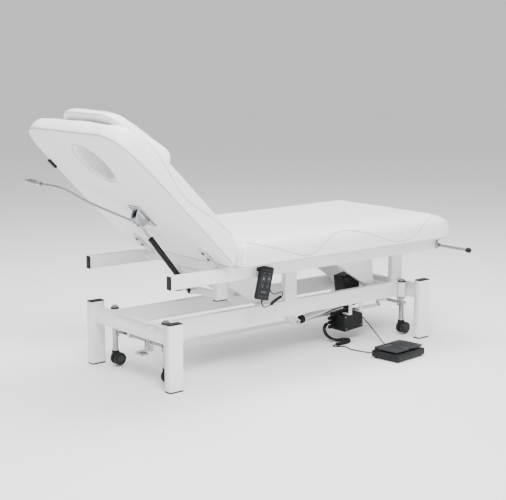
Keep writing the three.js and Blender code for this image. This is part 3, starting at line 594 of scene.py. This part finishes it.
def make_back():
    outline = back_outline()
    spine = (BACK["low"] + 130, BACK["high"] - 150, BACK["half"] - 150)
    rings = []
    gather = [math.cos(26 * 2 * math.pi * i / BACK["count"]) for i in range(BACK["count"])]
    for grow, height, pucker in ((22, 0, 0.0), (9, 0.4, 1.2), (1, 3.5, 2.2), (-2, 14, 1.8), (-3, 46, 0.8),
                                 (-2, 78, 0.2), (3, 91, 0), (12, 97, 0), (28, 98.5, 0)):
        rim = hole_ring(outline, grow)
        ring = []
        for point, wave in zip(rim, gather):
            spot = back_spot(point, height)
            inward = (back_spot(Vector((BACK["hole_at"], 0)), height) - spot).normalized()
            ring.append(spot + inward * pucker * wave * MM)
        rings.append(ring)
    edge = drawn_in(outline, BACK_SIDE[-1][0], spine)
    rim = hole_ring(outline, 28)
    for share in (0.12, 0.25, 0.4, 0.55, 0.7, 0.85):
        rings.append([back_spot(a.lerp(b, share), 98.5 - 2 * share) for a, b in zip(rim, edge)])
    for distance, height in reversed(BACK_SIDE):
        ring = drawn_in(outline, distance, spine)
        rings.append([back_spot(p, height) for p in ring])
    firm_from = (len(rings) - 2) * BACK["count"]
    lower, rim = drawn_in(outline, 40, spine), hole_ring(outline, 22)
    for share in (0.0, 0.35, 0.7):
        rings.append([back_spot(a.lerp(b, share), 0) for a, b in zip(lower, rim)])
    back = piece("back_pad", [stack(rings, closed=True)], VINYL, "backrest",
                 stands_for=("back_cushion", "back_board"))
    shade_smooth(back)
    size = BACK["count"]
    firm = list(range(2 * size)) + list(range(firm_from, len(rings) * size))
    swell(back, firm, 7 * MM)
    uneven(back, 10.0, 1.0 * MM)
    subdivide_once(back)
    return back


PILLOW = {"low": 470, "high": 722, "wide": 303, "narrow": 166, "count": 120}
PILLOW_SIDE = [(20, 0.2), (6, 0.4), (1, 3), (0, 9), (3, 18), (11, 29), (21, 39), (33, 46), (48, 49.5)]


def pillow_outline():
    return rounded([
        (PILLOW["low"], -PILLOW["wide"], 46), (PILLOW["high"], -PILLOW["narrow"], 70),
        (PILLOW["high"], PILLOW["narrow"], 70), (PILLOW["low"], PILLOW["wide"], 46),
    ], PILLOW["count"])


def make_pillow():
    outline = pillow_outline()
    spine = (PILLOW["low"] + 90, PILLOW["high"] - 90, 90)
    base = UNDERSIDE + BACK_THICK + 0.5
    centre = Vector(((PILLOW["low"] + PILLOW["high"]) / 2, 0))
    inner = drawn_in(outline, 80, spine)

    def spot(point, height):
        return on_back(point.x, point.y, base + height)

    rings = [[spot(centre.lerp(p, 0.1), 0.2) for p in inner]]
    for distance, height in PILLOW_SIDE:
        rings.append([spot(p, height) for p in drawn_in(outline, distance, spine)])
    for share in (1.0, 0.75, 0.5, 0.25, 0.06):
        rings.append([spot(centre.lerp(p, share), 51 + 2.0 * (1 - share)) for p in inner])
    pillow = piece("head_pillow_pad", [stack(rings)], VINYL, "head_pillow",
                   stands_for=("pillow",))
    shade_smooth(pillow)
    swell(pillow, list(range(3 * PILLOW["count"])), 5 * MM)
    uneven(pillow, 16.0, 1.2 * MM)
    subdivide_once(pillow)
    return pillow


# ---------------------------------------------------------------- seams and stitches
def surface_of(thing):
    graph = bpy.context.evaluated_depsgraph_get()
    return BVHTree.FromObject(thing, graph)


def laid_on(surface, points, lift):
    """Points moved to the nearest spot of a surface, and their normals."""
    spots = []
    for point in points:
        where, normal, _, _ = surface.find_nearest(point)
        spots.append((where + normal * lift, normal))
    return spots


def seam(name, surface, points, body, radius=1.35, closed=False):
    spots = [spot for spot, _ in laid_on(surface, points, 0.1 * MM)]
    if closed:
        spots.append(spots[0])
    # Seam tubes take the darkened vinyl, which is painted crease shade.
    return piece(name, [tube(spots, radius * MM, 8)], CREASE_SHADE, body)


def stitches(name, surface, points, body, offset=4.5, pitch=6.5, stitch=3.6):
    """A row of thread stitches beside a seam."""
    spots = laid_on(surface, points, 0.15 * MM)
    total, run, parts = 0.0, 0.0, []
    for (a, normal), (b, _) in zip(spots, spots[1:]):
        step = (b - a).length
        if step < 1e-6:
            continue
        way = (b - a) / step
        side = way.cross(normal).normalized() * offset * MM
        while run <= total + step:
            middle = a + way * (run - total) + side
            where, up, _, _ = surface.find_nearest(middle)
            low, high = where - way * stitch * MM / 2, where + way * stitch * MM / 2
            parts.append(tube([low, where + up * 0.5 * MM, high], [0.25 * MM, 0.45 * MM, 0.25 * MM], 6))
            run += pitch * MM
        total += step
    return piece(name, parts, THREAD, body)


def add_seat_seams(seat):
    surface = surface_of(seat)
    outline = seat_outline()
    seam("seat_lower_piping", surface, [at(p.x, p.y, SEAT["low"] + 3) for p in outline], "upper_frame",
         radius=1.8, closed=True)
    for label, sign in (("near", -1), ("far", 1)):
        wave = [(300, 318, 534), (350, 330, 530), (430, 349, 506), (520, 352, 474), (600, 352, 452),
                (655, 352, 466), (710, 350, 500), (760, 335, 528), (825, 326, 533), (900, 340, 520),
                (1000, 352, 482), (1085, 352, 456), (1150, 352, 455), (1210, 352, 478), (1262, 344, 514),
                (1310, 322, 531), (1352, 290, 533), (1375, 250, 533)]
        points = spline([at(x, sign * y, z) for x, y, z in wave], 240)
        corner = [at(SEAT["head"] - 2, sign * (SEAT["half"] - 9),
                     SEAT["low"] + 5 + 9 * k) for k in range(11)]
        seam("seat_corner_seam_" + label, surface, corner, "upper_frame", radius=0.9)
        seam("seat_wave_" + label, surface, points, "upper_frame")
        stitches("seat_stitches_" + label, surface, points, "upper_frame", offset=4.5 * sign)


def add_back_seams(back):
    surface = surface_of(back)
    outline = back_outline()
    seam("back_piping", surface, [back_spot(p, 3) for p in outline], "backrest", radius=1.9, closed=True)
    rim = hole_ring(outline, 12)
    seam("hole_piping", surface, [back_spot(p, 0.2) for p in rim], "backrest", radius=1.6, closed=True)
    for label, sign in (("near", -1), ("far", 1)):
        wave = [(112, 340, 92), (160, 344, 90), (225, 349, 78), (296, 351, 54), (363, 352, 40),
                (422, 351, 42),
                (480, 348, 57), (525, 342, 74), (560, 330, 88), (600, 300, 97), (625, 262, 99)]
        points = spline([on_back(s, sign * y, UNDERSIDE + h) for s, y, h in wave], 150)
        seam("back_wave_" + label, surface, points, "backrest")
        stitches("back_stitches_" + label, surface, points, "backrest", offset=4.5 * sign)
        corner = spline([on_back(734, sign * 214, UNDERSIDE + h) for h in (4, 30, 56, 80)]
                        + [on_back(706, sign * 210, UNDERSIDE + 96),
                           on_back(640, sign * 200, UNDERSIDE + 99)], 40)
        seam("back_corner_seam_" + label, surface, corner, "backrest", radius=0.9)


def add_pillow_seams(pillow):
    surface = surface_of(pillow)
    outline = pillow_outline()
    base = UNDERSIDE + BACK_THICK + 0.5
    spine = (PILLOW["low"] + 90, PILLOW["high"] - 90, 90)
    top = drawn_in(outline, 33, spine)
    seam("pillow_top_seam", surface, [on_back(p.x, p.y, base + 47) for p in top], "head_pillow",
         radius=0.9, closed=True)
    seam("pillow_lower_piping", surface, [on_back(p.x, p.y, base + 5) for p in outline], "head_pillow",
         radius=1.3,
         closed=True)


# ---------------------------------------------------------------- trim and fittings
def facing_x(a, b, c):
    """A slab drawn across and up, with its thickness along X."""
    return at(c, a, b)


def ring_band(start, way, inner, outer, low, high, sides=32):
    """A flat collar round an axis, in millimetres."""
    start, way = Vector(start), Vector(way).normalized()
    normal = way.orthogonal().normalized()
    across = way.cross(normal)
    edge = min(0.6, (high - low) / 3)
    profile = [(inner, low), (outer - edge, low), (outer, low + edge), (outer, high - edge),
               (outer - edge, high),
               (inner, high)]
    rings = []
    for radius, along in profile:
        rings.append([
            start + way * along * MM
            + (normal * math.cos(2 * math.pi * k / sides)
               + across * math.sin(2 * math.pi * k / sides)) * radius * MM
            for k in range(sides)
        ])
    return stack(rings, closed=True)


def bolt(spot, way, radius=5.0, height=3.6):
    """A domed bolt head with a round recess, standing on spot."""
    profile = [(0.05, -0.4), (radius, -0.4), (radius, height * 0.55), (radius * 0.86, height * 0.9),
               (radius * 0.6, height), (radius * 0.46, height), (radius * 0.42, height * 0.45),
               (0.05, height * 0.45)]
    return lathe(spot, way, profile, 20)


def nut(spot, way, radius=7.0, height=5.0):
    """A six-sided nut with a short end of thread."""
    body = lathe(spot, way, [(0.05, -0.3), (radius, -0.3), (radius, height - 0.7), (radius - 0.8, height),
                             (0.05, height)], 6)
    thread = lathe(spot, way, [(0.05, 0), (radius * 0.5, 0), (radius * 0.5, height + 2),
                               (0.05, height + 2.3)], 16)
    return [body, thread]


LEG = {"long": 60, "inner": 246.5, "outer": 279.5, "top": 252, "head": 0, "foot": 1307}
SIDES = {"near": -1, "far": 1}
Y_WAY = Vector((0, 1, 0))
Z_WAY = Vector((0, 0, 1))
X_WAY = Vector((1, 0, 0))


def span(sign, near, far):
    return (near, far) if sign > 0 else (-far, -near)


def add_leg_trim():
    for end in ("head", "foot"):
        for label, sign in SIDES.items():
            low, high = span(sign, LEG["inner"], LEG["outer"])
            x = LEG[end]
            cap = slab((x - 1, low - 1, LEG["top"] - 0.4),
                       (x + LEG["long"] + 1, high + 1, LEG["top"] + 3.6), 3, 1.2)
            lip = slab((x + 2.5, low + 2.5, LEG["top"] + 3),
                       (x + LEG["long"] - 2.5, high - 2.5, LEG["top"] + 4.4), 3, 0.7)
            piece("leg_cap_%s_%s" % (end, label), [cap, lip], BLACK, "base")
            foot = slab((x - 0.8, low - 0.8, 0), (x + LEG["long"] + 0.8, high + 0.8, 5.5), 3, 1.0)
            piece("leg_foot_%s_%s" % (end, label), [foot], BLACK, "base")


def add_rail_caps():
    for label, sign in SIDES.items():
        low, high = span(sign, 258.8, 284.2)
        cap = slab((low, 382.8, 3.6), (high, 433.2, 8.4), 2.5, 1.2, facing_x)
        face = slab((low + 3, 386, 2.6), (high - 3, 430, 4.2), 2.5, 0.7, facing_x)
        piece("rail_cap_head_" + label, [cap, face], BLACK, "upper_frame")
        cap = slab((low, 382.8, 1398.6), (high, 433.2, 1402.8), 2.5, 1.2, facing_x)
        piece("rail_cap_foot_" + label, [cap], BLACK, "upper_frame")
        low, high = span(sign, 115.6, 142.4)
        cap = slab((320.2, low, 275.6), (371.8, high, 280.6), 3, 1.2)
        piece("hanging_post_cap_" + label, [cap], BLACK, "upper_frame")
    stop = slab((1180, 129.5, 251.5), (1214, 153.5, 257.4), 3, 1.4)
    piece("stop_buffer", [stop], BLACK, "base")
    stop = slab((1166.8, 127.8, 257.9), (1228.2, 155.2, 262), 3, 1.0)
    piece("stop_post_cap", [stop], BLACK, "upper_frame")
    tube_end = slab((1374, -258.9, 393), (1398.8, 258.9, 433), 3, 0.4)
    piece("foot_cross_tube", [tube_end], PAINT, "upper_frame")


def add_fasteners():
    for label, sign in SIDES.items():
        heads = []
        for along in (57, 92):
            heads.append(bolt(on_back(along, sign * 217, UNDERSIDE - STRAP_THICK - 2.2), -OUT_BACK, 6.6,
                              3.4))
        piece("hinge_bolts_" + label, heads, BRONZE, "backrest")
        y0, y1 = span(sign, 199, 235)
        plate = [slab((42, y0, 0), (107, y1, 2.2), 15, 0.8,
                      lambda a, b, c: on_back(a, b, UNDERSIDE - STRAP_THICK - c), 8)]
        piece("hinge_plate_" + label, plate, CREAM, "backrest")
        pivot = nut(at(255, sign * 231, 412), Y_WAY * sign, 9, 6)
        piece("hinge_pivot_" + label, pivot, ZINC, "backrest")
        heads = []
        for face, way in ((17.5, -X_WAY), (1349.5, X_WAY)):
            for z in (186, 217):
                heads.append(bolt(at(face, sign * 141.5, z), way, 6.5, 3.4))
        piece("cross_rail_bolts_" + label, heads, PAINT, "base")
        pins = [lathe(at(801, -50 + sign * 17.6, 110), Y_WAY * sign,
                      [(0.05, -0.3), (8.5, -0.3), (8.5, 2.2), (7.6, 3.2), (5.2, 3.2), (4.8, 2.2),
                       (0.05, 2.2)], 24)]
        piece("crank_pin_" + label, pins, ZINC, "head_arm")
    for label, x in (("head", 60), ("foot", 1308)):
        for side_label, sign in SIDES.items():
            collar = [ring_band(at(x, sign * 172, 0), Z_WAY, 11.8, 17.2, 233, 238.4),
                      ring_band(at(x, sign * 172, 0), Z_WAY, 11.8, 17.0, 164.4, 168)]
            piece("caster_collar_%s_%s" % (label, side_label), collar, GREY, "base")


def add_caster_trim():
    for end, x in (("head", 60), ("foot", 1308)):
        for label, sign in SIDES.items():
            name = "%s_%s" % (end, label)
            hubs = []
            for way in (-1, 1):
                start = at(x + 12, sign * 172 + way * 18.8, 31)
                hubs.append(lathe(start, Y_WAY * way, [
                    (0.05, -1), (15.5, -1), (15.5, 0.5), (14, 1.2), (9, 0.6), (7, 0.6), (6, 1.5), (0.05,
                                                                                                   1.8)], 30))
                for k in range(5):
                    turn = 2 * math.pi * k / 5
                    spot = start + (X_WAY * math.cos(turn) + Z_WAY * math.sin(turn)) * 11.2 * MM
                    hubs.append(lathe(spot, Y_WAY * way, [(0.05, 0), (1.8, 0), (1.5, 1.5), (0.05, 1.7)], 10))
                for groove in (6.3, 12.2, 18.1):
                    hubs.append(ring_band(at(x + 12, sign * 172 + way * groove, 31), Y_WAY * way,
                                          23.5, 25.25, -0.7, 0.7, 48))
            piece("caster_hub_" + name, hubs, GREY, "wheels_" + name)
            stem = [ring_band(at(x, sign * 172, 0), Z_WAY, 10.8, 13.2, 66.4, 70.4)]
            stem += nut(at(x, sign * 172, 66), -Z_WAY, 8.0, 0.1)[:1]
            piece("caster_stem_ring_" + name, stem, ZINC, "post_" + name)


ACTUATOR = {"x": 801, "y": -50, "z": 110, "tilt": math.atan2(63, 424)}


def on_actuator(x, y, z):
    """Millimetres along, across and above the actuator's axis, from its rod pin."""
    c, s = math.cos(ACTUATOR["tilt"]), math.sin(ACTUATOR["tilt"])
    return at(ACTUATOR["x"] + x * c - z * s, ACTUATOR["y"] + y, ACTUATOR["z"] + x * s + z * c)


def add_actuator_trim():
    along = on_actuator(1, 0, 0) - on_actuator(0, 0, 0)
    upward = on_actuator(0, 0, 1) - on_actuator(0, 0, 0)
    start = on_actuator(0, 0, 0)
    sleeve = ring_band(start, along, 14.5, 15.3, 46, 244, 40)
    piece("actuator_tube", [sleeve], SILVER, "actuator")
    collar = [ring_band(start, along, 9.4, 17.2, 27, 44), ring_band(start, along, 14, 15.5, 246, 266.4)]
    piece("actuator_collars", collar, BLACK, "actuator")
    bands = []
    for low in (28, 104):
        bands.append(slab((265.4, -36.6, low), (352.6, 36.6, low + 2.4), 10.5, 0.8, on_actuator))
    top = slab((272, -30, 123.4), (346, 30, 126.6), 12, 1.6, on_actuator)
    piece("motor_bands", [*bands, top], BLACK, "actuator")
    heads = []
    for x, y in ((279, -23), (279, 23), (339, -23), (339, 23)):
        heads.append(bolt(on_actuator(x, y, 126.4), upward, 2.8, 1.6))
    piece("motor_screws", heads, ZINC, "actuator")
    eye = [lathe(on_actuator(428.7, sign * 9, 0), Y_WAY * sign,
                 [(0.05, -0.3), (7.5, -0.3), (7.5, 1.2), (6.5, 2), (0.05, 2)], 24) for sign in (-1, 1)]
    piece("motor_pin", eye, ZINC, "actuator")
    rod = lathe(start, along, [(0.05, 60), (6.4, 60), (6.4, 66), (5.6, 67), (0.05, 67)], 24)
    piece("rod_wiper", [rod], ZINC, "actuator_ram")


BOX = {"x": 1022, "z": 114, "low": (1022, -112, 40), "high": (1134, -22, 114), "tilt": math.radians(5)}


def on_box(x, y, z):
    """The control box as it hangs, tilted about its head-facing upper edge."""
    c, s = math.cos(BOX["tilt"]), math.sin(BOX["tilt"])
    dx, dz = x - BOX["x"], z - BOX["z"]
    return at(BOX["x"] + dx * c - dz * s, y, BOX["z"] + dx * s + dz * c)


def add_box_trim():
    low, high = BOX["low"], BOX["high"]
    seam_band = slab((low[0] - 0.9, low[1] - 0.9, 79), (high[0] + 0.9, high[1] + 0.9, 82), 5, 0.8, on_box)
    ribs = []
    for k in range(3):
        y = low[1] + 6 + k * 10
        ribs.append(slab((low[0] + 12, y, high[2] - 0.5), (high[0] - 12, y + 5, high[2] + 1.2), 2, 0.5,
                         on_box))
    piece("control_box_lid", [seam_band, *ribs], BLACK, "base")
    screws = [bolt(on_box(low[0] + 10 + 92 * i, low[1] - 0.2, 52), -Y_WAY, 2.6, 1.4) for i in (0, 1)]
    screws += [bolt(on_box(low[0] + 10 + 92 * i, low[1] - 0.2, 104), -Y_WAY, 2.6, 1.4) for i in (0, 1)]
    piece("control_box_screws", screws, ZINC, "base")


HAND = {"x": 421, "z": 362, "face": -313.0, "lean": 0.24}


def on_handset(x, z, out):
    c, s = math.cos(HAND["lean"]), math.sin(HAND["lean"])
    return at(HAND["x"] + x * c + z * s, HAND["face"] - out, HAND["z"] - x * s + z * c)


def add_handset_trim():
    def mark(corners, out=0.7):
        rings = [[on_handset(x, z, height) for x, z in corners] for height in (-0.2, out)]
        return stack(rings)

    def ring_mark(x, z, wide, tall, thick=0.55):
        points = [on_handset(x + wide * math.cos(2 * math.pi * k / 28),
                             z + tall * math.sin(2 * math.pi * k / 28), 0.25)
                  for k in range(29)]
        return tube(points, thick * MM, 6)

    border = [on_handset(x, z, 0.1) for x, z in
              ((-24, -50), (-26, -48), (-26, 48), (-24, 50), (24, 50), (26, 48), (26, -48), (24, -50),
               (-24, -50))]
    piece("handset_border", [tube(border, 0.9 * MM, 8)], GREY, "handset")
    parts = []
    for x in (-13, 13):
        parts.append(ring_mark(x, 38, 2.1, 2.1))
        parts.append(ring_mark(x, -6, 5.4, 2.8, 0.4))
        parts.append(ring_mark(x, -14, 5.4, 2.8, 0.4))
    parts.append(ring_mark(-8, -34, 4.4, 3.6))
    parts.append(ring_mark(8, -34, 4.4, 3.6))
    parts.append(mark([(-1.6, -37), (1.6, -37), (1.6, -31), (-1.6, -31)]))
    piece("handset_marks", parts, MARK, "handset")
    arrow = stack([[on_handset(x, z, height) for x,
                    z in ((-18, 13), (-8, 13), (-13, 21))] for height in (0.5, 1.25)])
    piece("key_up_mark", [arrow], MARK, "key_up")
    arrow = stack([[on_handset(x, z, height) for x,
                    z in ((8, 21), (18, 21), (13, 13))] for height in (0.5, 1.25)])
    piece("key_down_mark", [arrow], MARK, "key_down")
    relief = [ring_band(at(413.5, -302, 297.2), Vector((-0.24, 0, -0.97)), 2.0, 4.6 - 0.45 * k, 2.4 * k,
                        2.4 * k + 1.6, 20)
              for k in range(4)]
    piece("handset_strain_relief", relief, BLACK, "upper_frame")


SWITCH = {"x": 1027, "y": -428, "turn": math.radians(7)}


def on_switch(x, y, z):
    c, s = math.cos(SWITCH["turn"]), math.sin(SWITCH["turn"])
    return at(SWITCH["x"] + x * c - y * s, SWITCH["y"] + x * s + y * c, z)


def add_switch_trim():
    for label, low, high in (("up", -82, -4), ("down", 4, 82)):
        parts = []
        for k in range(11):
            x = low + 9 + k * (high - low - 21) / 10
            parts.append(slab((x, -50, 46.6), (x + 3, 14, 48.1), 1.4, 0.6, on_switch, 3))
        parts.append(slab((low + 3, 20, 46.6), (high - 3, 24, 48.3), 1.8, 0.6, on_switch, 3))
        piece("pedal_ribs_" + label, parts, GREY, "pedal_" + label)
    skirt = slab((-90.6, -67.6, 20), (90.6, 67.6, 22.4), 6.6, 0.8, on_switch)
    piece("foot_switch_band", [skirt], BLACK, "base")


def add_roll_and_lever_trim():
    tip = lathe(at(1398, -455, 401), -Y_WAY, [(0.05, 0), (10.6, 0), (11, 1.5), (11, 13), (9.5, 16),
                                              (0.05, 16.6)], 30)
    piece("roll_holder_tip", [tip], BLACK, "roll_rod")
    screw = bolt(at(1398, -300, 425), -Y_WAY, 4.2, 2.6)
    piece("roll_holder_screws", [screw], ZINC, "upper_frame")
    way = at(-163, 437, 729) - at(-138, 366, 718)
    start = at(-138, 366, 718)
    grooves = [ring_band(start, way, 9.6, 11.5, d, d + 2.2) for d in (4, 10, 16, 64, 70)]
    piece("lever_knob_rings", grooves, SILVER, "lever")
    gas_way = (at(53, 0, 603) - at(300, 0, 296)).normalized()
    gas_start = at(300, 0, 296)
    rings = [ring_band(gas_start, gas_way, 4.6, 11.6, 289, 293),
             ring_band(gas_start, gas_way, 10, 11.5, 34, 38)]
    piece("gas_spring_rings", rings, BLACK, "gas_cylinder")
    plate_bolts = [bolt(on_back(s, sign * 30, UNDERSIDE - 3.2), -OUT_BACK, 5, 3)
                   for s in (228, 311) for sign in (-1, 1)]
    piece("bracket_bolts", plate_bolts, ZINC, "backrest")
    bumper = slab((505, 326, -0.5), (550, 343, 9), 5, 1.6, lambda a, b, c: on_back(a, b, UNDERSIDE - c))
    piece("back_bumper", [bumper], BLACK, "backrest")



# ---------------------------------------------------------------- run
def dress_frame():
    """Better materials and eased edges for the CAD nodes that stay."""
    finishes = {
        # vinyl_board takes the darker copy of the vinyl, which is painted underside shade.
        "white_paint": (PAINT, 1.3), "bright_metal": (CHROME, 0.5), "black_plastic": (BLACK, 1.0),
        "grey_plastic": (GREY, 0.8), "wheel_rubber": (RUBBER, 1.6), "vinyl_board": (SHADED_UNDER_VINYL, 1.0),
        "white_vinyl": (VINYL, 1.0), "cord_black": (JACKET, 0.2),
    }
    slots = {entry["node"]: entry["material_slot"] for entry in frame["record"]["subparts"]}
    for name, thing in frame["nodes"].items():
        material, ease = finishes[slots[name]]
        for slot in thing.material_slots:
            slot.material = material
        if name.startswith(("seat_", "back_cushion", "back_board",
                            "pillow")) or "cord" in name or "lever" in name:
            continue
        thing.modifiers.new("joined_edges", "WELD").merge_threshold = 0.01 * MM
        bevel = thing.modifiers.new("eased_edges", "BEVEL")
        bevel.width = ease * MM
        bevel.segments = 2
        bevel.limit_method = "ANGLE"
        bevel.angle_limit = math.radians(40)
        bevel.harden_normals = True
        shade_smooth(thing)
        thing.data.set_sharp_from_angle(angle=math.radians(30))


FLOOR_LINE = [(1.5, 0), (4, 0), (8, 0), (11, 0), (12.6, 0.15), (14, 0.7), (15.2, 1.7), (16, 3.1), (16.4, 5)]


def add_floor():
    """A pale floor that turns up into a backdrop all round."""
    sides = 96
    verts, faces = [Vector((0, 0, -0.0004))], []
    for radius, height in FLOOR_LINE:
        for k in range(sides):
            angle = 2 * math.pi * k / sides
            verts.append(Vector((radius * math.cos(angle), radius * math.sin(angle), height - 0.0004)))
    for k in range(sides):
        faces.append((0, 1 + k, 1 + (k + 1) % sides))
    for i in range(len(FLOOR_LINE) - 1):
        for k in range(sides):
            a, b = 1 + i * sides + k, 1 + i * sides + (k + 1) % sides
            faces.append((a, a + sides, b + sides, b))
    mesh = bpy.data.meshes.new("floor")
    mesh.from_pydata([tuple(v) for v in verts], [], faces)
    mesh.polygons.foreach_set("use_smooth", [True] * len(mesh.polygons))
    mesh.materials.append(finish_material("floor_pale", (0.88, 0.88, 0.88), 0.6, grain=60, bump=0.01,
                                          spread=0.01))
    floor = bpy.data.objects.new("floor", mesh)
    bpy.context.collection.objects.link(floor)


add_camera()
add_cords()
add_studio()
add_floor()
dress_frame()
seat_pad = make_seat()
back_pad = make_back()
pillow_pad = make_pillow()
add_seat_seams(seat_pad)
add_back_seams(back_pad)
add_pillow_seams(pillow_pad)
add_leg_trim()
add_rail_caps()
add_fasteners()
add_caster_trim()
add_actuator_trim()
add_box_trim()
add_handset_trim()
add_switch_trim()
add_roll_and_lever_trim()
